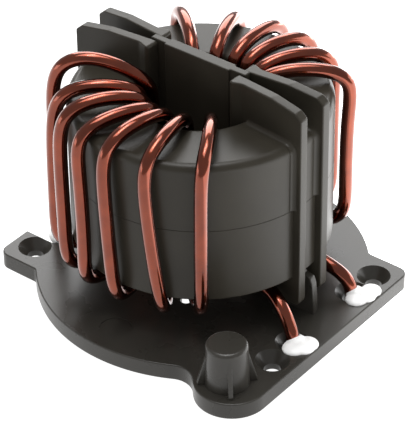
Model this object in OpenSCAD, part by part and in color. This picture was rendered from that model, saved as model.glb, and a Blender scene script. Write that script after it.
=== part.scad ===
// Current-compensated ring-core choke with two windings of thick enamelled wire, on a moulded base plate.
// The underside of the base plate is at z = 0, X runs across the divider and Y runs along it.
// The four bare lead ends reach below the base plate.

/* [Base plate] */
// Thickness of the base plate
base_t = 3.8; // [2.5:0.1:6]
// Radius of the round middle of the base plate
disc_r = 36; // [34:0.5:40]
// Width of the straight part of the base plate
plate_w = 48; // [44:0.5:54]
// Length of the straight part of the base plate
plate_l = 75; // [72:0.5:84]
// Radius of the plate's ear corners
corner_r = 2.5; // [1:0.1:4]
// Radius of the opening under the core's hole
opening_r = 12.9; // [8:0.1:20]
// Width of the notch between the rear ears
notch_w = 29; // [27:0.5:30]
// Distance from the middle to the notch's floor
notch_y = 29.5; // [28:0.1:30.2]
// Hollow corner where an ear meets the disc
ear_fillet = 1.5; // [0.5:0.1:3]

/* [Screw holes] */
// Hole spacing across the plate
screw_dx = 36; // [34:0.1:38]
// Distance of each hole from the end of the plate
screw_inset = 5.3; // [4.9:0.1:6]
// Through hole for the screw
screw_d = 3.6; // [2.5:0.1:4.5]
// Rim of the countersink
sink_d = 7.3; // [5.5:0.1:8]
// Depth of the countersink
sink_h = 2.4; // [1.6:0.1:2.4]

/* [Wire holes] */
// Distance of each lead and wire hole from the side of the notch
wire_inset = 3.9; // [3.7:0.1:5]
// Distance of the front wire holes, and of the rear leads, from the middle
wire_y = 31.8; // [31:0.1:33]
// Diameter of a wire hole
wire_hole_d = 4.2; // [3.8:0.1:5]
// Rim of the funnel above a wire hole
funnel_d = 7.2; // [5.5:0.1:8]

/* [Corner boss] */
// Distance of the boss from the middle, along X and along Y
boss_at = 29; // [28:0.1:30]
// Radius of the boss at its foot
boss_r = 4.65; // [3:0.05:6]
// Height of the boss above the plate
boss_h = 9.9; // [5:0.1:14]
// Radius of the rounded shoulder at the top of the boss
boss_shoulder = 0.9; // [0.3:0.1:2]
// Radius of the plate's lobe around the boss
lobe_r = 8; // [7:0.1:9]
// Hollow radius between the lobe and the disc
lobe_fillet = 5; // [3:0.1:7]
// Distance from the boss axis to the tip of a gusset
gusset_reach = 6.2; // [5:0.1:7]
// Thickness of a gusset
gusset_t = 1; // [0.6:0.1:2]

/* [Locating ribs] */
// Thickness of a rib
rib_t = 1.65; // [1:0.05:1.66]
// Distance from the middle to the front rib's outer edge
rib_out = 30; // [29.6:0.1:31]

/* [Core case] */
// Outer radius of the case
case_r = 27.75; // [27.6:0.05:28]
// Radius of the hole through the case
bore_r = 14; // [13.9:0.1:15]
// Height of the case's underside above the plate's underside
case_z = 14.5; // [14:0.1:16]
// Height of the case
case_h = 33; // [28:0.5:36]
// Wall of the case
case_wall = 1.5; // [1:0.1:2.5]
// Height of the parting seam above the case's underside
seam_h = 17.3; // [10:0.1:22]
// Rounding of the upper outer edge
top_round = 1.8; // [0.8:0.1:3]
// Rounding of the upper inner edge
edge_round = 1.1; // [0.5:0.1:1.5]
// Rounding of the lower edges
low_round = 0.4; // [0.2:0.1:1]
// Height of the lip that centres the upper half on the lower half
lip_h = 1.6; // [0.8:0.1:3]
// Clearance around the lip
lip_gap = 0.05; // [0.02:0.01:0.15]

/* [Fins] */
// Thickness of a fin
fin_t = 2.25; // [1.5:0.05:3]
// Angle between a fin and the middle plane
fin_angle = 5.4; // [3:0.1:8]
// Distance from the middle to a fin's outer edge
fin_out = 29.2; // [28.8:0.1:29.6]
// Height of a fin above the case
fin_rise = 8.6; // [6:0.1:12]
// Depth of a fin below the case
fin_drop = 6.5; // [3:0.1:8]
// Length of a fin inside the case's hole
fin_reach = 3.7; // [3:0.1:4]

/* [Ring core] */
// Clearance between the ring core and the case's walls
core_gap = 0.25; // [0.1:0.05:0.8]

/* [Separator] */
// Thickness of the separator plate
sep_t = 2.6; // [2:0.1:4]
// Half length of the separator's thick part
sep_half = 8.4; // [6:0.1:9]
// Thickness of the tongues that slide between the fins
tongue_t = 1.6; // [1:0.05:2.4]
// Clearance between a tongue and the fin ends that grip it
tongue_gap = 0.03; // [0.02:0.01:0.1]
// Length of a tongue past the fin ends
tongue_in = 1.9; // [1:0.1:3]
// Height of the separator above the fins
sep_rise = 0.3; // [0:0.1:2]

/* [Windings] */
// Diameter of the enamelled wire
wire_d = 3; // [2.2:0.1:3]
// Gap between the wire and the wall of the case's hole
hole_gap = 0.15; // [0.15:0.05:0.4]
// Slack between the wire and the outside of the case
side_slack = 0.6; // [0.5:0.05:2]
// Height of the wire's crest above the case
crest = 4.3; // [3.8:0.1:6]
// Length of a bare lead end below the plate
lead_below = 3.2; // [2:0.1:8]

/* [Adhesive] */
// Height of an adhesive drop above the plate
drop_h = 2.1; // [1:0.1:3]
// Radius of an adhesive drop
drop_r = 3.7; // [2.5:0.1:3.9]
// How far a rear drop sits inward of its lead
rear_shift = 1.7; // [1:0.1:1.9]
// Clearance between the adhesive and the wire
drop_gap = 0.05; // [0.03:0.01:0.2]

/* [Hidden] */
$fn = 96;
cut = 0.5;                        // how far a cut runs past the face it opens
screw_dy = plate_l - 2 * screw_inset;
wire_x = notch_w / 2 - wire_inset;
funnel_h = (funnel_d - wire_hole_d) / 2;
seam_z = case_z + seam_h;
case_top = case_z + case_h;
core_r = case_r - case_wall;      // outer radius of the room for the ring core
core_bore_r = bore_r + case_wall;
fin_top = case_top + fin_rise;
fin_low = case_z - fin_drop;
fin_in = bore_r - fin_reach;      // inner end of a fin, in the case's hole
grip = tongue_t / 2 + tongue_gap; // half the gap between two fins at their inner ends
lip_t = case_wall / 2;
pin_r = wire_d / 2 + 0.01;        // tinned end of a wire
pin_h = lead_below - 0.2;         // its length, all of it below the plate
in_r = bore_r - hole_gap - wire_d / 2;
out_r = case_r + wire_d / 2 + side_slack;
mid_r = (in_r + out_r) / 2;

// One row for each turn, in the order in which it was wound. The angles are in degrees around Z: in the
// hole, at the outer top corner, down the side and at the outer bottom corner. Then come the extra radius
// of the outer side, the extra height of the crest, how far the wire stands inside the hole's ring of
// wires, and how far it bulges out at the top corner.
turns_a = [
    [228, 218.5, 217.5, 218, 0.1, 0.6, 0, 0.6],
    [205, 196, 196.5, 203.5, 0.3, -0.2, 0, -0.3],
    [187, 177.5, 178, 182.5, 0.4, 0.1, 0, -0.4],
    [172.5, 162, 167.8, 165, 0.7, -0.5, 0, -0.3],
    [156, 148.5, 150.8, 152.5, 1.1, 0.4, 0, -0.7],
    [141, 134.5, 134, 137, 1.1, 0.2, 0, -1.2],
    [126.5, 125, 121.5, 120, 1, 4.4, 2.2, -0.3]];
turns_b = [
    [317, 315, 311, 314.5, 0.7, -0.6, 0, 1.6],
    [331.5, 330, 331, 331, 0.3, -0.4, 0, 0.2],
    [349, 346, 346, 345, 0.5, -0.5, 0, 0.1],
    [364, 361.5, 362.5, 361, 0.2, -0.4, 0, 0.3],
    [383.5, 381.5, 382, 381, 0.1, -0.4, 0, 0.1],
    [405, 408, 408, 408, 0.3, 0.5, 0, 0.3]];

// The leads run down through the front wire holes and through the rear notch. Each point is x, y, z.
lead_tip = -lead_below;
function straight_end(x, y) =
    [[x, y, 2 * lead_tip - 1.2], [x, y, lead_tip], [x, y, 1.2], [x, y, base_t + 0.3]];
function reversed(v) = [for (i = [len(v) - 1:-1:0]) v[i]];
front_a = concat(straight_end(-wire_x + 0.3, -wire_y - 0.2),
    [[-9.8, -30.2, 7.8], [-8.8, -27, case_z - 3.5], [-5.6, -20, case_z - 2.9]]);
front_b = concat(straight_end(wire_x - 0.1, -wire_y - 0.1),
    [[10.4, -30.7, 7], [9.5, -27.4, case_z - 5.3], [8.8, -20, case_z - 3.9]]);
rear_a = concat([[-13.8, 28.3, 13.4], [-11.4, 31, 8.2]], reversed(straight_end(-wire_x, wire_y)));
rear_b = concat([[15.5, 26.8, 14], [12.2, 30.9, 8.4]], reversed(straight_end(wire_x, wire_y)));

// Radius, angle and height of a point, with the angle near a given one
function polar(p, near) = let (a = atan2(p[1], p[0]))
    [norm([p[0], p[1]]), a + 360 * round((near - a) / 360), p[2]];
function xyz(q) = [q[0] * cos(q[1]), q[0] * sin(q[1]), q[2]];
function unit(v) = v / norm(v);

// Control points of one turn, from low in the hole, over the top and down the outside
function turn_up(t) = let (hole = in_r - t[6], side = out_r + t[4], high = case_top + crest + t[5]) [
    [hole, t[0], case_z + 3.5],
    [hole, t[0], case_top - 3.5],
    [hole - 0.65, t[0], case_top + 2.1],
    [mid_r, (t[0] + t[1]) / 2, high],
    [side + t[7], t[1], high - 2.4],
    [side, (t[1] + t[2]) / 2, case_top - 7.5],
    [side, (t[2] + t[3]) / 2, case_z + 6.5]];
// Control points under the case, from one turn to the next one
function turn_under(t, n) = [
    [out_r + t[4] + 0.3, t[3], case_z - 3],
    [mid_r, 0.7 * t[3] + 0.3 * n[0], case_z - 2.8],
    [in_r - n[6] - 0.8, n[0], case_z - 2.2]];
function control(turns, front, rear) = let (last = len(turns) - 1) concat(
    [for (p = front) polar(p, turns[0][0])],
    [[in_r - 0.8, turns[0][0], case_z - 2.2]],
    [for (i = [0:last]) for (q = concat(turn_up(turns[i]),
        i < last ? turn_under(turns[i], turns[i + 1]) : [])) q],
    [for (p = rear) polar(p, turns[last][0])]);

// Smooth curve through the neighbourhood of its control points, with a few steps for each of them
steps = 3;
function blend(a, b, c, d, t) = (pow(1 - t, 3) * a + (3 * pow(t, 3) - 6 * t * t + 4) * b
    + (-3 * pow(t, 3) + 3 * t * t + 3 * t + 1) * c + pow(t, 3) * d) / 6;
function curve(P) = concat(
    [for (i = [0:len(P) - 4]) for (k = [0:steps - 1]) blend(P[i], P[i + 1], P[i + 2], P[i + 3], k / steps)],
    [let (i = len(P) - 4) blend(P[i], P[i + 1], P[i + 2], P[i + 3], 1)]);

// Frame at each point of a wire's middle line: place, and two directions across it
function frames(Q) = let (C = [for (q = Q) xyz(q)], n = len(Q) - 1) [for (i = [0:n]) let (
    along = unit(C[min(i + 1, n)] - C[max(i - 1, 0)]),
    round_z = [-sin(Q[i][1]), cos(Q[i][1]), 0],
    flat = unit(round_z - (round_z * along) * along))
    [C[i], flat, cross(along, flat)]];

// Round bar along the frames
module bar(F, r, sides = 12) {
    n = len(F);
    rings = [for (f = F) for (k = [0:sides - 1]) let (a = 360 * k / sides)
        f[0] + r * (f[1] * cos(a) + f[2] * sin(a))];
    walls = [for (i = [0:n - 2]) for (k = [0:sides - 1]) let (a = i * sides + k,
        b = i * sides + (k + 1) % sides) each [[a, a + sides, b + sides], [a, b + sides, b]]];
    ends = [[for (k = [0:sides - 1]) k], [for (k = [sides - 1:-1:0]) (n - 1) * sides + k]];
    polyhedron(rings, concat(walls, ends));
}

// One winding, with its two tinned ends as plain pins
module winding(turns, front, rear) {
    F = frames(curve(control(turns, front, rear)));
    last = len(F) - 1;
    bar([for (i = [1:last - 1]) F[i]], wire_d / 2);
    for (end = [F[0], F[last]]) translate(end[0]) cylinder(r = pin_r, h = pin_h, $fn = 48);
}

// Room that the adhesive leaves for a lead
module lead_room(points) {
    bar(frames(curve([for (p = points) polar(p, atan2(points[0][1], points[0][0]))])), pin_r + drop_gap);
}

// Solid of revolution with a rectangular section whose outer corners are rounded
module ring(r1, r2, z1, z2, low_r, high_r, high_in) {
    rotate_extrude() difference() {
        translate([r1, z1]) square([r2 - r1, z2 - z1]);
        corner_cut(r2, z1, -1, 1, low_r);
        corner_cut(r1, z1, 1, 1, low_r);
        corner_cut(r2, z2, -1, -1, high_r);
        corner_cut(r1, z2, 1, -1, high_in);
    }
}
module corner_cut(x, y, sx, sy, r) {
    if (r > 0) translate([x, y]) scale([sx, sy]) difference() {
        translate([-cut, -cut]) square(r + cut);
        translate([r, r]) circle(r, $fn = 48);
    }
}

// Outline of the base plate
lobe_c = [-plate_w / 2 - 4, -plate_l / 2 + lobe_r];
module plate_outline() {
    difference() {
        union() {
            circle(disc_r, $fn = 192);
            square([plate_w - 2 * corner_r, plate_l], center = true);
            square([plate_w, plate_l - 2 * corner_r], center = true);
            for (x = [-1, 1]) for (y = [-1, 1])
                translate([x * (plate_w / 2 - corner_r), y * (plate_l / 2 - corner_r)]) circle(corner_r);
            translate(lobe_c) circle(lobe_r);
            translate([lobe_c[0], -plate_l / 2]) square([-lobe_c[0], lobe_r]);
            ear_hollow(1, -1);
            ear_hollow(1, 1);
            ear_hollow(-1, 1);
            lobe_hollow();
        }
        notch();
    }
}
// The rear notch, with rounded corners at its floor
notch_round = 1.2;
module notch() {
    translate([-notch_w / 2, notch_y + notch_round]) square([notch_w, plate_l]);
    translate([-notch_w / 2 + notch_round, notch_y]) square([notch_w - 2 * notch_round, plate_l]);
    for (x = [-1, 1]) translate([x * (notch_w / 2 - notch_round), notch_y + notch_round]) circle(notch_round);
}
// Hollow corner between an ear's straight side and the disc
module ear_hollow(sx, sy) {
    c = [plate_w / 2 + ear_fillet, sqrt(pow(disc_r + ear_fillet, 2) - pow(plate_w / 2 + ear_fillet, 2))];
    t = c * disc_r / (disc_r + ear_fillet);
    scale([sx, sy]) difference() {
        polygon([[plate_w / 2 - 1, c[1]], c, t, [plate_w / 2 - 1, t[1]]]);
        translate(c) circle(ear_fillet);
    }
}
// Hollow corner between the boss lobe and the disc
module lobe_hollow() {
    to_lobe = norm(lobe_c);
    a = disc_r + lobe_fillet;
    b = lobe_r + lobe_fillet;
    reach = (a * a - b * b + to_lobe * to_lobe) / (2 * to_lobe);
    side = sqrt(a * a - reach * reach);
    dir = lobe_c / to_lobe;
    c = dir * reach + [dir[1], -dir[0]] * side;
    t1 = c * disc_r / a;
    t2 = lobe_c + (c - lobe_c) * lobe_r / b;
    difference() {
        polygon([t1, c, t2, dir * (disc_r - 3)]);
        translate(c) circle(lobe_fillet);
    }
}

module boss() {
    taper = 0.25;
    rotate_extrude() difference() {
        polygon([[0, 0], [boss_r, 0], [boss_r - taper, boss_h], [0, boss_h]]);
        corner_cut(boss_r - taper, boss_h, -1, -1, boss_shoulder);
    }
    for (a = [45:90:315]) rotate([0, 0, a]) rotate([90, 0, 0])
        translate([0, 0, -gusset_t / 2]) linear_extrude(gusset_t)
            polygon([[boss_r - 1, 0], [gusset_reach, 0], [gusset_reach, 0.6], [boss_r - 0.6, boss_h - 1.7],
                [boss_r - 1, boss_h - 1.7]]);
}

// Locating rib between two fins, which also carries the case
rib_in = opening_r + 1;
module rib(out) {
    foot = case_r - edge_round - 0.2;
    rotate([90, 0, 90]) translate([0, 0, -rib_t / 2]) linear_extrude(rib_t) polygon([
        [rib_in, base_t - cut], [rib_in, case_z], [foot, case_z], [foot + 0.8, case_z - 1.3],
        [out - 1, case_z - 1.6], [out - 0.4, case_z - 3.2], [out, case_z - 7.5], [out, base_t - cut]]);
}

// Round-ended keyway in the opening's edge
key_angle = 203.5;
key_out = 1.1;                    // from the opening's edge to the middle of the round end
key_r = 1.1;
// Mark of an ejector pin on the plate
mark_x = 29.3;
mark_d = 7;
mark_deep = 0.12;
module base_plate() {
    color([0.16, 0.15, 0.14]) difference() {
        union() {
            linear_extrude(base_t) plate_outline();
            translate([-boss_at, -boss_at, base_t]) boss();
            rotate([0, 0, 180]) rib(rib_out);
            rib(notch_y - 0.2);
        }
        translate([0, 0, -cut]) cylinder(r = opening_r, h = base_t + 2 * cut);
        rotate([0, 0, key_angle]) {
            translate([opening_r + key_out, 0, -cut]) cylinder(r = key_r, h = base_t + 2 * cut);
            translate([opening_r - key_r, -key_r, -cut])
                cube([key_r + key_out, 2 * key_r, base_t + 2 * cut]);
        }
        for (x = [-1, 1]) for (y = [-1, 1]) translate([x * screw_dx / 2, y * screw_dy / 2, 0])
            funnel_hole(screw_d, sink_d, sink_h);
        for (x = [-1, 1]) translate([x * wire_x, -wire_y, 0]) funnel_hole(wire_hole_d, funnel_d, funnel_h);
        translate([-mark_x, 0, base_t - mark_deep]) cylinder(d = mark_d, h = cut);
    }
}
module funnel_hole(d, rim, deep) {
    translate([0, 0, -cut]) cylinder(d = d, h = base_t + 2 * cut);
    translate([0, 0, base_t - deep]) cylinder(d1 = d, d2 = rim + (rim - d) * cut / deep, h = deep + cut);
}

// Plan and side view of one fin, in the quarter where X and Y are positive
fin_flare = 0.9;
function fin_face(y) = grip + (y - fin_in) * tan(fin_angle);
module fin_plan() {
    wide = fin_t / cos(fin_angle);
    difference() {
        polygon([[fin_face(fin_in), fin_in], [fin_face(fin_out), fin_out],
            [fin_face(fin_out) + wide, fin_out],
            [fin_face(fin_in + 3) + wide, fin_in + 3], [fin_face(fin_in + 1) + wide + fin_flare, fin_in + 1],
            [fin_face(fin_in) + wide + fin_flare, fin_in]]);
        corner_cut(fin_face(fin_out) + wide, fin_out, -1, -1, 0.5);
        corner_cut(fin_face(fin_in) + wide + fin_flare, fin_in, -1, 1, 0.8);
    }
}
module fin(z1, z2) {
    intersection() {
        translate([0, 0, z1]) linear_extrude(z2 - z1) fin_plan();
        rotate([90, 0, 90]) linear_extrude(20) difference() {
            polygon([[fin_in - cut, fin_low], [fin_out + cut, fin_low], [fin_out + cut, fin_top - 2.6],
                [fin_out - 0.6, fin_top - 1.6], [fin_out - 1.4, fin_top - 0.85],
                [fin_out - 8, fin_top], [fin_in - cut, fin_top]]);
            corner_cut(fin_out, fin_low, -1, 1, 1.4);
            corner_cut(fin_in, fin_low, 1, 1, 1);
            corner_cut(fin_in, fin_top, 1, -1, 0.8);
        }
    }
}
module four_fins(z1, z2) {
    for (x = [0, 1]) for (y = [0, 1]) mirror([x, 0, 0]) mirror([0, y, 0]) fin(z1, z2);
}
module core_room() {
    ring(core_bore_r, core_r, case_z + case_wall, case_top - case_wall, 0, 0, 0);
}

module case_lower() {
    color([0.2, 0.19, 0.18]) difference() {
        union() {
            ring(bore_r, case_r, case_z, seam_z, low_round, 0, 0);
            four_fins(fin_low, seam_z);
            ring(bore_r + lip_t, bore_r + 2 * lip_t, seam_z - cut, seam_z + lip_h, 0, 0, 0);
            ring(case_r - 2 * lip_t, case_r - lip_t, seam_z - cut, seam_z + lip_h, 0, 0, 0);
        }
        core_room();
        // narrow slit under the seam, between the front fins
        translate([0.25, -case_r - cut, seam_z - 4]) cube([0.35, cut + 0.6, 4 + cut]);
    }
}
module case_upper() {
    color([0.2, 0.19, 0.18]) difference() {
        union() {
            ring(bore_r, case_r, seam_z, case_top, 0, top_round, edge_round);
            four_fins(seam_z, fin_top);
        }
        core_room();
        ring(bore_r + lip_t - lip_gap, core_bore_r + cut, seam_z - cut, seam_z + lip_h + lip_gap, 0, 0, 0);
        ring(core_r - cut, case_r - lip_t + lip_gap, seam_z - cut, seam_z + lip_h + lip_gap, 0, 0, 0);
    }
}

// Wound ring core, lying on the floor of the case
module ring_core() {
    color([0.36, 0.35, 0.35]) ring(core_bore_r + core_gap, core_r - core_gap, case_z + case_wall,
        case_top - case_wall - core_gap, 0.5, 0.5, 0.5);
}

module separator_plate() {
    low = fin_low + 1;
    high = fin_top + sep_rise - low;
    color([0.2, 0.19, 0.18]) translate([0, 0, low]) linear_extrude(high) union() {
        square([sep_t, 2 * sep_half], center = true);
        square([tongue_t, 2 * (fin_in + tongue_in)], center = true);
    }
}

copper = [0.66, 0.3, 0.26];
module winding_a() { color(copper) winding(turns_a, front_a, rear_a); }
module winding_b() { color(copper) winding(turns_b, front_b, rear_b); }

// Flat drop of set adhesive on the plate
module drop(r, h) {
    translate([0, 0, base_t]) rotate_extrude() intersection() {
        ball = (r * r + h * h) / (2 * h);
        translate([0, h - ball]) circle(ball, $fn = 64);
        square([r, h]);
    }
}
// Adhesive around a front lead: two drops that have run together, and the part that fills the funnel
module front_drops(x, main, small, lead) {
    difference() {
        union() {
            translate(main) drop(drop_r, drop_h);
            translate(small) drop(drop_r - 0.9, drop_h - 0.6);
            intersection() {
                translate([x, -wire_y, base_t - funnel_h])
                    cylinder(d1 = wire_hole_d, d2 = funnel_d, h = funnel_h);
                translate([main[0], main[1], 0]) cylinder(r = drop_r - 0.1, h = base_t);
            }
        }
        lead_room(lead);
    }
}
module adhesive_a_front() {
    color("white")
        front_drops(-wire_x, [-wire_x + 0.8, -wire_y - 1.6], [-wire_x - 1.2, -wire_y - 2.2], front_a);
}
module adhesive_b_front() {
    color("white")
        front_drops(wire_x, [wire_x - 0.2, -wire_y - 1.5], [wire_x + 2.4, -wire_y - 2.8], front_b);
}
// Adhesive that holds a rear lead against the floor of the notch
module rear_drop(side, rear) {
    difference() {
        union() {
            translate([side * wire_x, wire_y - rear_shift]) drop(drop_r, drop_h);
            intersection() {
                translate([side * wire_x, wire_y - rear_shift, 1]) cylinder(r = drop_r - 1, h = base_t - 1);
                linear_extrude(base_t + cut) notch();
            }
        }
        lead_room(rear);
    }
}
module adhesive_a_rear() { color("white") rear_drop(-1, rear_a); }
module adhesive_b_rear() { color("white") rear_drop(1, rear_b); }

base_plate();
case_lower();
case_upper();
ring_core();
separator_plate();
winding_a();
winding_b();
adhesive_a_front();
adhesive_a_rear();
adhesive_b_front();
adhesive_b_rear();
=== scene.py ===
# Current-compensated ring-core choke: a cased ring core with two windings on a moulded base plate.
# X runs across the divider, Y along it, and the underside of the base plate is at height 0.
import math

import bpy
from mathutils import Matrix, Quaternion, Vector, noise


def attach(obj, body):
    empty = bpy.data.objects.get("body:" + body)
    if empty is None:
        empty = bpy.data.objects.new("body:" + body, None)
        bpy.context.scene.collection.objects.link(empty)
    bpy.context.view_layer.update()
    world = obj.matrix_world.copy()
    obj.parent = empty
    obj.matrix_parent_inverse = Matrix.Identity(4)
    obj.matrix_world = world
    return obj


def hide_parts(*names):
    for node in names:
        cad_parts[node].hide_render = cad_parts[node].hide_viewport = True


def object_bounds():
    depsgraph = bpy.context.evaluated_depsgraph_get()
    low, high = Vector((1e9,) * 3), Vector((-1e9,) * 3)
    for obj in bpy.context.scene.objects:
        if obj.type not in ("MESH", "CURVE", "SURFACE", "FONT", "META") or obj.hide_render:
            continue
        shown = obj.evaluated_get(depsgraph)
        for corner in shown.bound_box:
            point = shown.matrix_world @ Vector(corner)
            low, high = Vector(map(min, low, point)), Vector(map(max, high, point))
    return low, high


mm = 0.001
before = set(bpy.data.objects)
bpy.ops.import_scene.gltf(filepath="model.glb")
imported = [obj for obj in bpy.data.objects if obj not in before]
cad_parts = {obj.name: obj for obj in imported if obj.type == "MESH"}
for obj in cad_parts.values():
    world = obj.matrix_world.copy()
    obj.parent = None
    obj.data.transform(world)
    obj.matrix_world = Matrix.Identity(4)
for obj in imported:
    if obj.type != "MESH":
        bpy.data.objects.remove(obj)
cad_low, cad_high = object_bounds()
bpy.ops.object.select_all(action="DESELECT")


# The camera looks down on the core from the side of the corner boss, through a long lens.
# It is rolled by less than a degree, as the photograph is.
aim = Vector((-0.74, -1.23, 18.13)) * mm
azimuth = math.radians(51.49)
elevation = math.radians(35.71)
roll = math.radians(0.73)
away = 551.9 * mm
back = Vector((-math.sin(azimuth) * math.cos(elevation),
               -math.cos(azimuth) * math.cos(elevation), math.sin(elevation)))
bpy.ops.object.camera_add(location=aim + back * away)
camera = bpy.context.object
camera.rotation_mode = "QUATERNION"
camera.rotation_quaternion = (-back).to_track_quat("-Z", "Y") @ Quaternion((0, 0, 1), -roll)
camera.data.lens = 222.96
camera.data.sensor_width = 36
camera.data.clip_start = 0.01
bpy.context.scene.camera = camera


# Photo table: a pale floor lit from below, brightest to the right of the part, under soft boxes. So
# upright edges and level faces catch the most light, and the walls that face the camera stay dark.
bpy.context.scene.view_settings.view_transform = "Standard"
bpy.ops.mesh.primitive_plane_add(size=4, location=(0, 0, cad_low.z))
floor = bpy.context.object
floor.name = "floor"
paper = bpy.data.materials.new("pale_paper")
paper.use_nodes = True
nodes, links = paper.node_tree.nodes, paper.node_tree.links
shader = nodes["Principled BSDF"]
shader.inputs["Roughness"].default_value = 0.9
shader.inputs["Specular IOR Level"].default_value = 0.1
shader.inputs["Emission Color"].default_value = (1, 1, 1, 1)
place = nodes.new("ShaderNodeTexCoord")
grain = nodes.new("ShaderNodeTexNoise")
grain.inputs["Scale"].default_value = 60
tone = nodes.new("ShaderNodeValToRGB")
tone.color_ramp.elements[0].color = (0.3, 0.3, 0.3, 1)
tone.color_ramp.elements[1].color = (0.34, 0.34, 0.34, 1)
turned = nodes.new("ShaderNodeMapping")
turned.inputs["Rotation"].default_value = (0, 0, math.radians(38.5))
apart = nodes.new("ShaderNodeSeparateXYZ")
glow = nodes.new("ShaderNodeMapRange")
glow.interpolation_type = "SMOOTHSTEP"
glow.inputs["From Min"].default_value = 12 * mm
glow.inputs["From Max"].default_value = 46 * mm
glow.inputs["To Min"].default_value = 1.0
glow.inputs["To Max"].default_value = 2.8
links.new(place.outputs["Object"], grain.inputs["Vector"])
links.new(grain.outputs["Fac"], tone.inputs["Fac"])
links.new(tone.outputs["Color"], shader.inputs["Base Color"])
links.new(place.outputs["Object"], turned.inputs["Vector"])
links.new(turned.outputs["Vector"], apart.inputs["Vector"])
links.new(apart.outputs["X"], glow.inputs["Value"])
links.new(glow.outputs["Result"], shader.inputs["Emission Strength"])
floor.data.materials.append(paper)

world = bpy.data.worlds.new("studio")
world.use_nodes = True
world.node_tree.nodes["Background"].inputs["Color"].default_value = (1, 1, 1, 1)
world.node_tree.nodes["Background"].inputs["Strength"].default_value = 0.48
bpy.context.scene.world = world


def soft_box(name, direction, distance, width, height, radiance):
    """Square lamp that faces the object from that direction."""
    towards = Vector(direction).normalized()
    bpy.ops.object.light_add(type="AREA", location=towards * distance + Vector((0, 0, 20 * mm)))
    lamp = bpy.context.object
    lamp.name = name
    lamp.rotation_euler = towards.to_track_quat("Z", "Y").to_euler()
    lamp.data.shape = "RECTANGLE"
    lamp.data.size = width
    lamp.data.size_y = height
    lamp.data.energy = radiance * math.pi * width * height
    lamp.visible_camera = False


soft_box("box_right", (0.8, -0.62, 0.2), 0.7, 0.6, 0.25, 3)
soft_box("box_back", (0.635, 0.506, 0.583), 0.8, 0.7, 0.45, 5)
soft_box("box_top", (0, 0.05, 1), 0.9, 0.7, 0.55, 4)
soft_box("box_strip", (0, 0.05, 1), 0.8, 0.35, 0.05, 24)
soft_box("box_low", (1, -0.1, 0.07), 0.7, 0.5, 0.12, 6)
soft_box("box_left", (-0.75, 0.65, 0.12), 0.7, 0.5, 0.15, 2.5)


# Base plate, injection moulded in black plastic: a disc between two ears at each end, a lobe for the
# corner boss, four countersunk screw holes, two funnels for the leads and an opening under the core.
base_t = 3.8 * mm
disc_r = 36 * mm
plate_w = 48 * mm
plate_l = 75 * mm
corner_r = 2.5 * mm
ear_fillet = 1.5 * mm
lobe_r = 8 * mm
lobe_fillet = 5 * mm
notch_w = 29 * mm
notch_y = 29.5 * mm
notch_round = 1.2 * mm
opening_r = 12.9 * mm
key_out = 14 * mm
key_r = 1.1 * mm
key_angle = math.radians(203.5)
screw_x, screw_y = 18 * mm, 32.2 * mm
screw_r, sink_r, sink_h = 1.8 * mm, 3.65 * mm, 2.4 * mm
wire_x, wire_y = 10.6 * mm, 31.8 * mm
wire_hole_r, funnel_r, funnel_h = 2.1 * mm, 3.6 * mm, 1.5 * mm
boss_at = -29 * mm
boss_r, boss_top_r, boss_h, boss_shoulder = 4.65 * mm, 3.5 * mm, 9.9 * mm, 0.9 * mm
gusset_half = 0.5 * mm
rib_left, rib_right = -0.83 * mm, 0.82 * mm
mark_at, mark_r, mark_deep = -29.3 * mm, 3.5 * mm, 0.12 * mm


def arc(centre, radius, start, end, steps=10):
    """Points from one angle to another, in degrees, around a centre."""
    angles = [math.radians(start + (end - start) * k / steps) for k in range(steps + 1)]
    return [Vector((centre[0] + radius * math.cos(a), centre[1] + radius * math.sin(a))) for a in angles]


def rounded(*corners):
    """Closed outline through corners given as x, y and radius in millimetres."""
    points = []
    for i, (x, y, radius) in enumerate(corners):
        here = Vector((x, y)) * mm
        if radius == 0:
            points.append(here)
            continue
        before = (Vector(corners[i - 1][:2]) * mm - here).normalized()
        after = (Vector(corners[(i + 1) % len(corners)][:2]) * mm - here).normalized()
        half = before.angle(after) / 2
        centre = here + (before + after).normalized() * radius * mm / math.sin(half)
        start = here + before * radius * mm / math.tan(half) - centre
        turn = math.copysign(math.pi - 2 * half, before.y * after.x - before.x * after.y)
        points += [centre + Matrix.Rotation(turn * k / 6, 2) @ start for k in range(7)]
    return points


def finish_edit(piece):
    """Leaves edit mode with doubles merged and every face turned outwards."""
    bpy.ops.mesh.select_all(action="SELECT")
    bpy.ops.mesh.remove_doubles(threshold=1e-6)
    bpy.ops.mesh.normals_make_consistent(inside=False)
    bpy.ops.object.mode_set(mode="OBJECT")
    piece.select_set(False)


def slab(name, outline, low, high, upright=False):
    """Solid with that outline in plan, or in side view where it stands upright, between two planes."""
    bpy.ops.mesh.primitive_circle_add(vertices=len(outline), fill_type="NGON")
    piece = bpy.context.object
    piece.name = name
    for vertex, (a, b) in zip(piece.data.vertices, outline):
        vertex.co = (low, a, b) if upright else (a, b, low)
    lift = (high - low, 0, 0) if upright else (0, 0, high - low)
    bpy.ops.object.mode_set(mode="EDIT")
    bpy.ops.mesh.select_all(action="SELECT")
    bpy.ops.mesh.extrude_region_move(TRANSFORM_OT_translate={"value": lift})
    finish_edit(piece)
    return piece


def spun(name, section, steps=96, closed=True):
    """Solid of revolution around Z from a section in radius and height."""
    count = len(section)
    mesh = bpy.data.meshes.new(name)
    edges = [(k, (k + 1) % count) for k in range(count if closed else count - 1)]
    mesh.from_pydata([(a, 0, b) for a, b in section], edges, [])
    piece = bpy.data.objects.new(name, mesh)
    bpy.context.collection.objects.link(piece)
    bpy.context.view_layer.objects.active = piece
    piece.select_set(True)
    bpy.ops.object.mode_set(mode="EDIT")
    bpy.ops.mesh.select_all(action="SELECT")
    bpy.ops.mesh.spin(steps=steps, angle=2 * math.pi, center=(0, 0, 0), axis=(0, 0, 1))
    finish_edit(piece)
    return piece


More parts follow.
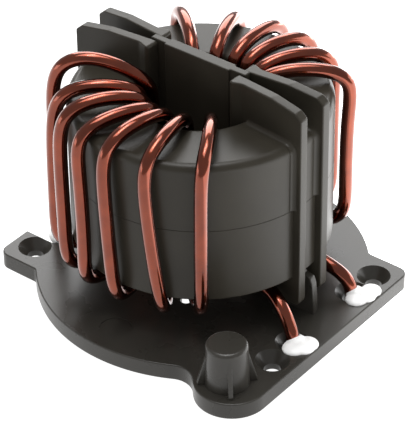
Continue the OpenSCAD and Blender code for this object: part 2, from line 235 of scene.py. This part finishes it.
def moved(piece, x=0.0, y=0.0, z=0.0):
    """Shifts the mesh and leaves the object at the origin."""
    piece.data.transform(Matrix.Translation((x, y, z)))
    return piece


def copied(piece, matrix):
    """Copy with a mesh of its own, turned or mirrored, with its faces outwards again."""
    twin = piece.copy()
    twin.data = piece.data.copy()
    bpy.context.collection.objects.link(twin)
    twin.data.transform(matrix)
    if matrix.determinant() < 0:
        twin.data.flip_normals()
    return twin


def combine(piece, other, how, keep=False):
    """Joins, cuts or trims a piece with another solid, which is used up unless it is kept."""
    fit = piece.modifiers.new("fit", "BOOLEAN")
    fit.operation = how
    fit.object = other
    fit.solver = "EXACT"
    bpy.context.view_layer.objects.active = piece
    bpy.ops.object.modifier_apply(modifier=fit.name)
    if not keep:
        bpy.data.objects.remove(other)


def soften(piece, width, chosen):
    """Rounds the sharp edges whose two ends pass the test."""
    bpy.context.view_layer.objects.active = piece
    piece.select_set(True)
    bpy.ops.object.mode_set(mode="EDIT")
    bpy.ops.mesh.select_mode(type="EDGE")
    bpy.ops.mesh.select_all(action="DESELECT")
    bpy.ops.mesh.edges_select_sharp(sharpness=math.radians(30))
    bpy.ops.object.mode_set(mode="OBJECT")
    places = piece.data.vertices
    for edge in piece.data.edges:
        edge.select = edge.select and all(chosen(places[v].co) for v in edge.vertices)
    bpy.ops.object.mode_set(mode="EDIT")
    bpy.ops.mesh.bevel(offset=width, segments=3, affect="EDGES")
    finish_edit(piece)


def shade(piece, degrees):
    """Smooth shading over the edges that bend less than the angle."""
    bpy.context.view_layer.objects.active = piece
    piece.select_set(True)
    bpy.ops.object.shade_smooth_by_angle(angle=math.radians(degrees))
    piece.select_set(False)


def smooth(piece):
    """Smooth shading between soft edges, with flat faces kept flat."""
    shade(piece, 32)
    weigh = piece.modifiers.new("weigh", "WEIGHTED_NORMAL")
    weigh.keep_sharp = True
    bpy.ops.object.modifier_apply(modifier=weigh.name)


def plate_outline():
    """Outline of the base plate, anticlockwise from the front edge."""
    ear_x, ear_y = plate_w / 2 - corner_r, plate_l / 2 - corner_r
    hollow_x = plate_w / 2 + ear_fillet
    hollow_y = math.sqrt((disc_r + ear_fillet) ** 2 - hollow_x ** 2)
    bearing = math.degrees(math.atan2(hollow_y, hollow_x))
    lobe = Vector((-plate_w / 2 - 4 * mm, -plate_l / 2 + lobe_r))
    a, b = disc_r + lobe_fillet, lobe_r + lobe_fillet
    reach = (a * a - b * b + lobe.length_squared) / (2 * lobe.length)
    along = lobe.normalized()
    hollow = along * reach + Vector((along.y, -along.x)) * math.sqrt(a * a - reach * reach)
    to_disc = math.degrees(math.atan2(hollow.y, hollow.x)) + 180
    to_lobe = math.degrees(math.atan2(lobe.y - hollow.y, lobe.x - hollow.x))
    inner_x = notch_w / 2 - notch_round
    inner_y = notch_y + notch_round
    return (arc((ear_x, -ear_y), corner_r, -90, 0)
            + arc((hollow_x, -hollow_y), ear_fillet, 180, 180 - bearing)
            + arc((0, 0), disc_r, -bearing, bearing, 60)
            + arc((hollow_x, hollow_y), ear_fillet, 180 + bearing, 180)
            + arc((ear_x, ear_y), corner_r, 0, 90)
            + [Vector((notch_w / 2, plate_l / 2))]
            + arc((inner_x, inner_y), notch_round, 0, -90)
            + arc((-inner_x, inner_y), notch_round, -90, -180)
            + [Vector((-notch_w / 2, plate_l / 2))]
            + arc((-ear_x, ear_y), corner_r, 90, 180)
            + arc((-hollow_x, hollow_y), ear_fillet, 0, -bearing)
            + arc((0, 0), disc_r, 180 - bearing, 180 + to_disc, 50)
            + arc(hollow, lobe_fillet, to_disc, to_lobe, 16)
            + arc(lobe, lobe_r, to_lobe + 180, 270, 24))


def funnel(x, y, hole, rim, cone):
    """Cutter for a hole with a cone of that depth at its top."""
    over = 0.5 * mm
    wide = rim + (rim - hole) * over / cone
    section = [(0, -over), (hole, -over), (hole, base_t - cone), (wide, base_t + over), (0, base_t + over)]
    return moved(spun("cutter", section, 64, closed=False), x, y)


plate = slab("base", plate_outline(), 0, base_t)
opening = [(0, -mm), (opening_r, -mm), (opening_r, base_t + mm), (0, base_t + mm)]
combine(plate, spun("cutter", opening, 128, closed=False), "DIFFERENCE")
key = slab("key", arc((key_out, 0), key_r, -90, 90, 24)
           + [Vector((opening_r - key_r, key_r)), Vector((opening_r - key_r, -key_r))], -mm, base_t + mm)
key.data.transform(Matrix.Rotation(key_angle, 4, "Z"))
combine(plate, key, "DIFFERENCE")
soften(plate, 0.32 * mm, lambda p: min(p.z, base_t - p.z) < 0.01 * mm)
for side in (-1, 1):
    for end in (-1, 1):
        hole = funnel(side * screw_x, end * screw_y, screw_r, sink_r, sink_h)
        combine(plate, hole, "DIFFERENCE")
    combine(plate, funnel(side * wire_x, -wire_y, wire_hole_r, funnel_r, funnel_h), "DIFFERENCE")

shoulder = (boss_top_r, base_t + boss_h - boss_shoulder)
boss = spun("boss", [(0, base_t - mm), (boss_r, base_t - mm)]
            + arc(shoulder, boss_shoulder, 4, 90, 8) + [(0, base_t + boss_h)], 64, closed=False)
for k in range(4):
    gusset = slab("gusset", rounded((3.4, 3, 0), (6.2, 3, 0), (6.2, 4.4, 0.2), (4.1, 12, 0.3), (3.4, 12, 0)),
                  -gusset_half, gusset_half, upright=True)
    soften(gusset, 0.2 * mm, lambda p: p.y > 4 * mm)
    gusset.data.transform(Matrix.Rotation(math.radians(45 + 90 * k), 4, "Z"))
    combine(boss, gusset, "UNION")
combine(plate, moved(boss, boss_at, boss_at), "UNION")
for turn, out in ((0, 29.3), (180, 30)):
    rib = slab("rib", rounded((13.9, 3, 0), (13.9, 14.5, 0.5), (26.45, 14.5, 0.2), (27.25, 13.2, 0.3),
                              (out - 1, 12.9, 0.8), (out - 0.4, 11.3, 0.8), (out, 7, 3), (out, 3, 0)),
               rib_left, rib_right, upright=True)
    soften(rib, 0.25 * mm, lambda p: p.z > 3.5 * mm)
    rib.data.transform(Matrix.Rotation(math.radians(turn), 4, "Z"))
    combine(plate, rib, "UNION")
mark = spun("cutter", [(0, base_t - mark_deep), (mark_r, base_t - mark_deep),
                       (mark_r, base_t + mm), (0, base_t + mm)], 64, closed=False)
combine(plate, moved(mark, mark_at), "DIFFERENCE")
smooth(plate)


def mottled(name, cloud, tones, edges, gloss, relief=None):
    """Material whose colour and roughness follow a noise given as scale and detail.

    The relief is the scale and detail of a second noise, then the strength and depth of its bumps."""
    made = bpy.data.materials.new(name)
    made.use_nodes = True
    nodes, links = made.node_tree.nodes, made.node_tree.links
    surface = nodes["Principled BSDF"]
    where = nodes.new("ShaderNodeTexCoord")
    clouds = nodes.new("ShaderNodeTexNoise")
    clouds.inputs["Scale"].default_value, clouds.inputs["Detail"].default_value = cloud
    colour = nodes.new("ShaderNodeValToRGB")
    for stop, edge, tone in zip(colour.color_ramp.elements, edges, tones):
        stop.position = edge
        stop.color = (*tone, 1)
    sheen = nodes.new("ShaderNodeMapRange")
    sheen.inputs["To Min"].default_value, sheen.inputs["To Max"].default_value = gloss
    links.new(where.outputs["Object"], clouds.inputs["Vector"])
    links.new(clouds.outputs["Fac"], colour.inputs["Fac"])
    links.new(colour.outputs["Color"], surface.inputs["Base Color"])
    links.new(clouds.outputs["Fac"], sheen.inputs["Value"])
    links.new(sheen.outputs["Result"], surface.inputs["Roughness"])
    if relief:
        pits = nodes.new("ShaderNodeTexNoise")
        pits.inputs["Scale"].default_value, pits.inputs["Detail"].default_value = relief[:2]
        bump = nodes.new("ShaderNodeBump")
        bump.inputs["Strength"].default_value, bump.inputs["Distance"].default_value = relief[2:]
        links.new(where.outputs["Object"], pits.inputs["Vector"])
        links.new(pits.outputs["Fac"], bump.inputs["Height"])
        links.new(bump.outputs["Normal"], surface.inputs["Normal"])
    return made, surface


# Satin black plastic with spark-eroded grain and faint flow streaks
base_plastic, surface = mottled("base_plastic", (90, 4), ((0.027, 0.025, 0.021), (0.038, 0.035, 0.03)),
                                (0.3, 0.75), (0.23, 0.33), (2600, 3, 0.25, 0.05 * mm))
surface.inputs["IOR"].default_value = 1.4
plate.data.materials.clear()
plate.data.materials.append(base_plastic)
plate.name = "moulded_base"
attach(plate, "root")
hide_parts("base_plate")


# Case of the ring core, moulded in two halves that meet in a seam halfway up. Each half carries its
# part of the four fins, which stand in pairs beside the divider with a hollow fillet at their feet.
case_r = 27.75
bore_r = 14
case_low = 14.5
case_top = 47.5
case_wall = 1.5
seam_z = 31.8
fin_t = 2.25
fin_lean = math.tan(math.radians(5.4))
fin_in = 10.3
fin_out = 29.2
fin_low = 8
fin_top = 56.1
grip = 0.83


def fin_face(y):
    """Distance of a fin's inner face from the middle plane, in millimetres."""
    return grip + (y - fin_in) * fin_lean


def fin():
    """One fin over its whole height, in the quarter where X and Y are positive."""
    wide = fin_t * math.sqrt(1 + fin_lean ** 2)
    plan = rounded((fin_face(fin_in), fin_in, 0), (fin_face(fin_in) + wide + 0.9, fin_in, 0.8),
                   (fin_face(fin_in + 1) + wide + 0.9, fin_in + 1, 0.8),
                   (fin_face(fin_in + 3) + wide, fin_in + 3, 2),
                   (fin_face(fin_out) + wide, fin_out, 0), (fin_face(fin_out), fin_out, 0))
    piece = slab("fin", plan, (fin_low - 1) * mm, (fin_top + 1) * mm)
    side = rounded((fin_in - 0.01, fin_low, 1), (fin_out + 0.01, fin_low, 1.4),
                   (fin_out + 0.01, fin_top - 2.2, 0.8), (fin_out - 1.5, fin_top - 0.9, 1.2),
                   (fin_out - 8, fin_top, 6), (fin_in - 0.01, fin_top, 0.8))
    combine(piece, slab("trim", side, -mm, 20 * mm, upright=True), "INTERSECT")
    soften(piece, 0.3 * mm, lambda p: True)
    return piece


def cut_level(piece, height, keep_low):
    """Cuts a solid at a height and keeps the part below or above."""
    bpy.context.view_layer.objects.active = piece
    piece.select_set(True)
    bpy.ops.object.mode_set(mode="EDIT")
    bpy.ops.mesh.select_all(action="SELECT")
    bpy.ops.mesh.bisect(plane_co=(0, 0, height), plane_no=(0, 0, 1), use_fill=True,
                        clear_outer=keep_low, clear_inner=not keep_low)
    finish_edit(piece)


def foot_fillet(side):
    """Hollow fillet along one side of a fin's foot, over the case's top and down its wall."""
    radius, sink, round_r = 1.0, 0.3, 1.8
    wide = fin_t * math.sqrt(1 + fin_lean ** 2)
    stations = [(bore_r + 1.2 + k, case_top, 90) for k in range(11)]
    stations += [(case_r - round_r + round_r * math.cos(math.radians(a)),
                  case_top - round_r + round_r * math.sin(math.radians(a)), a) for a in range(90, -1, -15)]
    stations += [(case_r, z, 0) for z in (40, 34, 32.0)]
    rings = []
    for radial, z, tilt in stations:
        y = radial
        for _ in range(4):
            x = fin_face(y) + (wide if side > 0 else 0)
            y = math.sqrt(radial ** 2 - x * x)
        out = Vector((x, y, 0)).normalized()
        n = out * math.cos(math.radians(tilt)) + Vector((0, 0, math.sin(math.radians(tilt))))
        s = Vector((side, -side * fin_lean, 0)).normalized()
        foot = Vector((x, y, z))
        corner = foot + (s + n) * radius
        bend = [(math.sin(math.radians(a)), math.cos(math.radians(a))) for a in range(0, 91, 15)]
        rings.append([foot - (s + n) * sink, foot + s * radius - n * sink]
                     + [corner - (s * p + n * q) * radius for p, q in bend]
                     + [foot + n * radius - s * sink])
    count = len(rings[0])
    places = [p * mm for ring in rings for p in ring]
    faces = [list(range(count)), [(len(rings) - 1) * count + k for k in reversed(range(count))]]
    for i in range(len(rings) - 1):
        for k in range(count):
            a, b = i * count + k, i * count + (k + 1) % count
            faces.append([a, a + count, b + count, b])
    mesh = bpy.data.meshes.new("fillet")
    mesh.from_pydata(places, [], faces)
    piece = bpy.data.objects.new("fillet", mesh)
    bpy.context.collection.objects.link(piece)
    bpy.context.view_layer.objects.active = piece
    piece.select_set(True)
    bpy.ops.object.mode_set(mode="EDIT")
    finish_edit(piece)
    return piece


quarters = [Matrix.Diagonal((x, y, 1, 1)) for x in (1, -1) for y in (1, -1)]
whole_fin = fin()
fillets = [foot_fillet(1), foot_fillet(-1)]


def case_half(name, section, lower_half):
    """One half of the case, with its part of the fins and, on the upper half, their fillets."""
    half = spun(name, section, 144)
    for quarter in quarters:
        part = copied(whole_fin, quarter)
        cut_level(part, seam_z * mm, lower_half)
        combine(half, part, "UNION")
        if not lower_half:
            for fillet in fillets:
                combine(half, copied(fillet, quarter), "UNION")
    near, far = bore_r + case_wall, case_r - case_wall
    floor_z, roof_z = case_low + case_wall, case_top - case_wall
    hollow = rounded((near, floor_z, 0), (far, floor_z, 0), (far, roof_z, 0), (near, roof_z, 0))
    combine(half, spun("cutter", hollow, 96), "DIFFERENCE")
    smooth(half)
    return half


lower = case_half("case_bottom", rounded((bore_r, case_low, 0.4), (case_r, case_low, 0.4),
                                         (case_r, seam_z, 0.12), (bore_r, seam_z, 0.12)), True)
upper = case_half("case_cover", rounded((bore_r, seam_z, 0.12), (case_r, seam_z, 0.12),
                                        (case_r, case_top, 1.8), (bore_r, case_top, 1.1)), False)
bpy.data.objects.remove(whole_fin)
for fillet in fillets:
    bpy.data.objects.remove(fillet)
case_plastic, surface = mottled("case_plastic", (90, 4), ((0.025, 0.022, 0.0165), (0.034, 0.03, 0.0225)),
                                (0.3, 0.75), (0.28, 0.38), (3200, 3, 0.25, 0.05 * mm))
surface.inputs["IOR"].default_value = 1.29
for half, node in ((lower, "case_lower"), (upper, "case_upper")):
    half.data.materials.clear()
    half.data.materials.append(case_plastic)
    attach(half, "root")
    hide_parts(node)


# Separator, a moulded plate that stands in the core's hole and slides with its two tongues between
# the fins, so that the windings stay apart.
sep_low, sep_high = 9 * mm, 56.4 * mm
sep_x, sep_y = 1.3, 8.4
tongue_x, tongue_y = 0.8, 12.2
plan = rounded((-sep_x, -sep_y, 0.25), (-tongue_x, -sep_y, 0), (-tongue_x, -tongue_y, 0.25),
               (tongue_x, -tongue_y, 0.25), (tongue_x, -sep_y, 0), (sep_x, -sep_y, 0.25),
               (sep_x, sep_y, 0.25), (tongue_x, sep_y, 0), (tongue_x, tongue_y, 0.25),
               (-tongue_x, tongue_y, 0.25), (-tongue_x, sep_y, 0), (-sep_x, sep_y, 0.25))
divider = slab("divider", plan, sep_low, sep_high)
soften(divider, 0.22 * mm, lambda p: min(abs(p.z - sep_low), abs(p.z - sep_high)) < 0.01 * mm)
smooth(divider)
divider.data.materials.clear()
divider.data.materials.append(case_plastic)
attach(divider, "root")
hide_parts("separator_plate")


# Ring core, sintered ferrite with a matt dark surface, hidden inside the case.
ferrite, surface = mottled("ferrite", (1400, 6), ((0.05, 0.05, 0.052), (0.12, 0.12, 0.125)),
                           (0, 1), (0.75, 0.75))
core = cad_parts["ring_core"]
core.data.materials.clear()
core.data.materials.append(ferrite)


# Windings: each is one thick enamelled copper wire, wound by hand. Both leads at the front come out
# from under the case, and the last turn of each runs down to the notch behind.
wire_r = 1.5
in_r = 12.35
out_r = 29.85
mid_r = 21.1
lead_below = 3.2
# One row for each turn: the angles in the hole, at the outer top, down the side and at the outer
# bottom, then what the side, the crest, the hole and the top corner add.
turns_a = [(228, 218.5, 217.5, 218, 0.1, 0.6, 0, 0.6), (205, 196, 196.5, 203.5, 0.3, -0.2, 0, -0.3),
           (187, 177.5, 178, 182.5, 0.4, 0.1, 0, -0.4), (172.5, 162, 167.8, 165, 0.7, -0.5, 0, -0.3),
           (156, 148.5, 150.8, 152.5, 1.1, 0.4, 0, -0.7), (141, 134.5, 134, 137, 1.1, 0.2, 0, -1.2),
           (126.5, 125, 121.5, 120, 1, 4.4, 2.2, -0.3)]
turns_b = [(317, 315, 311, 314.5, 0.7, -0.6, 0, 1.6), (331.5, 330, 331, 331, 0.3, -0.4, 0, 0.2),
           (349, 346, 346, 345, 0.5, -0.5, 0, 0.1), (364, 361.5, 362.5, 361, 0.2, -0.4, 0, 0.3),
           (383.5, 381.5, 382, 381, 0.1, -0.4, 0, 0.1), (405, 408, 408, 408, 0.3, 0.5, 0, 0.3)]


def straight_end(x, y):
    """Points down through the plate to the tip of a lead."""
    return [(x, y, -2 * lead_below - 1.2), (x, y, -lead_below), (x, y, 1.2), (x, y, 4.1)]


front_a = straight_end(-10.3, -32) + [(-9.8, -30.2, 7.8), (-8.8, -27, 11), (-5.6, -20, 11.6)]
front_b = straight_end(10.5, -31.9) + [(10.4, -30.7, 7), (9.5, -27.4, 9.2), (8.8, -20, 10.6)]
rear_a = [(-13.8, 28.3, 13.4), (-11.4, 31, 8.2)] + straight_end(-10.6, 31.8)[::-1]
rear_b = [(15.5, 26.8, 14), (12.2, 30.9, 8.4)] + straight_end(10.6, 31.8)[::-1]


def polar(point, near):
    """Radius, angle in degrees near a given one, and height of a point."""
    angle = math.degrees(math.atan2(point[1], point[0]))
    return Vector((math.hypot(point[0], point[1]), angle + 360 * round((near - angle) / 360), point[2]))


def route(turns, front, rear):
    """Control points of a wire's middle line, from the front lead to the rear lead."""
    first = turns[0][0]
    points = [polar(p, first) for p in front] + [Vector((in_r - 0.8, first, case_low - 2.2))]
    for i, (hole, top, wall, foot, more, rise, inside, bulge) in enumerate(turns):
        inner, side, high = in_r - inside, out_r + more, case_top + 4.3 + rise
        points += [Vector(p) for p in (
            (inner, hole, case_low + 3.5), (inner, hole, case_top - 3.5),
            (inner - 0.65, hole, case_top + 2.1), (mid_r, (hole + top) / 2, high),
            (side + bulge, top, high - 2.4), (side, (top + wall) / 2, case_top - 7.5),
            (side, (wall + foot) / 2, case_low + 6.5))]
        if i + 1 < len(turns):
            after, after_in = turns[i + 1][0], in_r - turns[i + 1][6]
            points += [Vector(p) for p in (
                (side + 0.3, foot, case_low - 3), (mid_r, 0.7 * foot + 0.3 * after, case_low - 2.8),
                (after_in - 0.8, after, case_low - 2.2))]
    return points + [polar(p, turns[-1][0]) for p in rear]


def middle_line(points, steps):
    """Smooth cubic curve past the control points, in metres."""
    line = []
    for a, b, c, d in zip(points, points[1:], points[2:], points[3:]):
        for k in range(steps):
            t = k / steps
            line.append(((1 - t) ** 3 * a + (3 * t ** 3 - 6 * t * t + 4) * b
                         + (-3 * t ** 3 + 3 * t * t + 3 * t + 1) * c + t ** 3 * d) / 6)
    line.append((points[-3] + 4 * points[-2] + points[-1]) / 6)
    return [Vector((q[0] * math.cos(math.radians(q[1])), q[0] * math.sin(math.radians(q[1])), q[2])) * mm
            for q in line]


def winding(name, turns, front, rear):
    """One winding as a round tube along its middle line."""
    line = middle_line(route(turns, front, rear), 8)
    curve = bpy.data.curves.new(name, "CURVE")
    curve.dimensions = "3D"
    spline = curve.splines.new("POLY")
    spline.points.add(len(line) - 1)
    for point, place in zip(spline.points, line):
        point.co = (*place, 1)
    curve.bevel_depth = wire_r * mm
    curve.bevel_resolution = 10
    curve.use_fill_caps = True
    piece = bpy.data.objects.new(name, curve)
    bpy.context.collection.objects.link(piece)
    bpy.context.view_layer.objects.active = piece
    piece.select_set(True)
    bpy.ops.object.convert(target="MESH")
    piece = bpy.context.object
    bpy.ops.object.mode_set(mode="EDIT")
    finish_edit(piece)
    shade(piece, 50)
    return piece


enamel, surface = mottled("enamelled_copper", (220, 3), ((0.14, 0.022, 0.006), (0.2, 0.034, 0.01)),
                          (0.3, 0.7), (0.14, 0.22), (900, 2, 0.12, 0.05 * mm))
surface.inputs["Metallic"].default_value = 1.0
surface.inputs["Coat Weight"].default_value = 1.0
surface.inputs["Coat Roughness"].default_value = 0.05
surface.inputs["Coat IOR"].default_value = 1.42

tin, surface = mottled("tinned_ends", (700, 2), ((0.5, 0.5, 0.5), (0.68, 0.68, 0.69)),
                       (0, 1), (0.22, 0.4))
surface.inputs["Metallic"].default_value = 1.0

for letter, turns, front, rear in (("a", turns_a, front_a, rear_a), ("b", turns_b, front_b, rear_b)):
    wire = winding(f"wire_{letter}", turns, front, rear)
    wire.data.materials.clear()
    wire.data.materials.append(enamel)
    wire.data.materials.append(tin)
    for face in wire.data.polygons:
        face.material_index = 1 if face.center.z < 1.5 * mm else 0
    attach(wire, "root")
    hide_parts(f"winding_{letter}")


# Adhesive: soft white drops that were run around the leads where they enter the plate, and set.
sealant, surface = mottled("white_adhesive", (260, 2), ((0.9, 0.9, 0.89), (0.95, 0.95, 0.94)),
                           (0, 1), (0.3, 0.5), (260, 2, 0.2, 0.1 * mm))
surface.inputs["Subsurface Weight"].default_value = 0.25
surface.inputs["Subsurface Radius"].default_value = (0.6 * mm, 0.6 * mm, 0.6 * mm)
surface.inputs["Subsurface Scale"].default_value = 1
voxel = 0.16 * mm
wave_high, wave_long = 0.16 * mm, 1.7 * mm


def drop(name, lumps):
    """Drop of adhesive from lumps given as x, y, radius and height, set on the plate and in its holes."""
    parts = []
    for x, y, radius, high in lumps:
        bpy.ops.mesh.primitive_uv_sphere_add(segments=32, ring_count=16, radius=1)
        part = bpy.context.object
        part.data.transform(Matrix.Translation((x * mm, y * mm, base_t))
                            @ Matrix.Diagonal((radius * mm, radius * mm, high * mm, 1)))
        parts.append(part)
    for part in parts:
        part.select_set(True)
    bpy.context.view_layer.objects.active = parts[0]
    bpy.ops.object.join()
    piece = bpy.context.object
    piece.name = name
    piece.select_set(False)
    melt = piece.modifiers.new("melt", "REMESH")
    melt.mode = "VOXEL"
    melt.voxel_size = voxel
    bpy.ops.object.modifier_apply(modifier=melt.name)
    relax = piece.modifiers.new("relax", "SMOOTH")
    relax.iterations = 12
    bpy.ops.object.modifier_apply(modifier=relax.name)
    for vertex in piece.data.vertices:
        vertex.co.z += wave_high * noise.noise(vertex.co / wave_long)
    combine(piece, plate, "DIFFERENCE", keep=True)
    shade(piece, 50)
    return piece


for letter, end, lumps in (
        ("a", "front", [(-10.4, -32.8, 2.2, 1.6), (-12.2, -33.5, 2.6, 1.1), (-10.8, -34.5, 2.8, 1.3),
                        (-9.5, -34.9, 2.4, 1.0)]),
        ("b", "front", [(10.5, -32.9, 2.2, 1.6), (8.9, -34.1, 2.4, 1.1), (11.0, -34.7, 2.6, 1.3),
                        (13.2, -34.9, 2.3, 1.0)]),
        ("a", "rear", [(-10.6, 30.1, 3.5, 2.1)]),
        ("b", "rear", [(10.6, 30.1, 3.5, 2.1)])):
    blob = drop(f"drop_{letter}_{end}", lumps)
    blob.data.materials.clear()
    blob.data.materials.append(sealant)
    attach(blob, "root")
    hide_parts(f"adhesive_{letter}_{end}")
